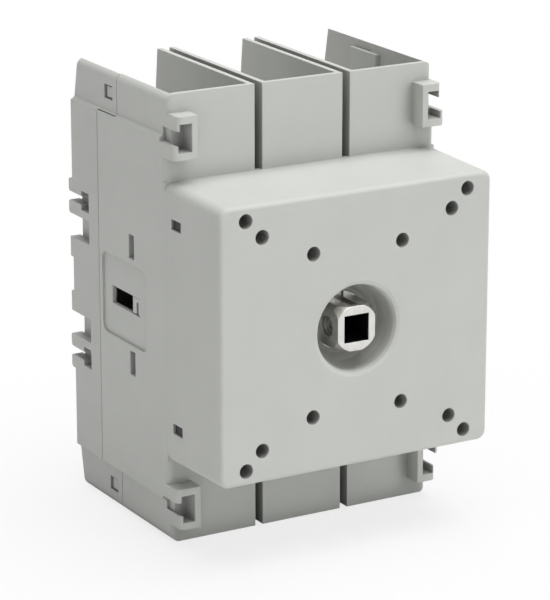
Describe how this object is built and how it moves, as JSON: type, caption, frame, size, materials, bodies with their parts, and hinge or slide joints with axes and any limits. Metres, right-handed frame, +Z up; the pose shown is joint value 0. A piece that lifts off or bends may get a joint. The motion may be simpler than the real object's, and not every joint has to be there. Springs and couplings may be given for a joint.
{
  "type": "switch disconnector",
  "caption": "Panel-mounting rotary switch disconnector: boxy moulded body with square shaft socket in a round recess, front screw holes and rear-facing terminal compartments",
  "frame": {"origin": "centre of the front screw-hole patterns on the shaft axis, in the plane of the front face", "axes": "-Y points forward, out of the front face towards the operator; +Y goes back through the panel-mounted body; +X is right seen from the front; +Z is up along the three pole channels"},
  "size_m": [0.111, 0.1142, 0.165],
  "materials": {
    "light_grey_plastic": "light grey moulded thermoset, fine matt texture",
    "base_grey_plastic": "light grey moulded thermoset, fine matt texture",
    "frame_plastic": "black glass-filled plastic",
    "die_cast_zinc": "bright zinc die casting",
    "blackened_steel": "blackened steel",
    "drum_plastic": "natural acetal",
    "spring_steel": "spring steel",
    "bronze": "sintered bronze",
    "carrier_plastic": "light glass-filled plastic",
    "bright_steel": "bright steel",
    "contact_copper": "bare copper",
    "contact_silver": "silver contact material",
    "tinned_copper": "tin-plated copper",
    "zinc_plated_steel": "zinc-plated steel"
  },
  "bodies": {
    "base": {"front_housing": "light_grey_plastic", "terminal_divider_upper": "light_grey_plastic", "terminal_divider_lower": "light_grey_plastic", "rear_housing": "base_grey_plastic", "mechanism_frame": "frame_plastic", "shaft_sleeve": "bronze", "fixed_contact_tips": "contact_silver", "arc_plates_1": "bright_steel", "arc_plates_2": "bright_steel", "arc_plates_3": "bright_steel", "line_terminal_1": "tinned_copper", "line_terminal_2": "tinned_copper", "line_terminal_3": "tinned_copper", "load_terminal_1": "tinned_copper", "load_terminal_2": "tinned_copper", "load_terminal_3": "tinned_copper", "terminal_bolts": "zinc_plated_steel", "terminal_washers": "zinc_plated_steel", "terminal_nuts": "zinc_plated_steel", "housing_screws": "zinc_plated_steel"},
    "rotor": {"drive_shaft": "die_cast_zinc", "shaft_set_screw": "blackened_steel", "cam_drum": "drum_plastic", "snap_spring": "spring_steel", "retaining_ring": "spring_steel"},
    "carrier": {"contact_carrier": "carrier_plastic", "follower_pins": "bright_steel", "contact_bridge_1": "contact_copper", "contact_bridge_2": "contact_copper", "contact_bridge_3": "contact_copper", "moving_contact_tips_1": "contact_silver", "moving_contact_tips_2": "contact_silver", "moving_contact_tips_3": "contact_silver", "contact_spring_1": "spring_steel", "contact_spring_2": "spring_steel", "contact_spring_3": "spring_steel"}
  },
  "joints": [
    {"name": "shaft_turn", "type": "hinge", "parent": "base", "child": "rotor", "pos_m": [0, 0, 0], "axis": [0, 1, 0], "range_deg": [0, 90]},
    {"name": "carrier_slide", "type": "slide", "parent": "base", "child": "carrier", "axis": [0, 1, 0], "range_m": [0, 0.009]}
  ],
  "couplings": [
    {"joint": "carrier_slide", "follows": "shaft_turn", "m_per_rad": 0.0057295}
  ]
}
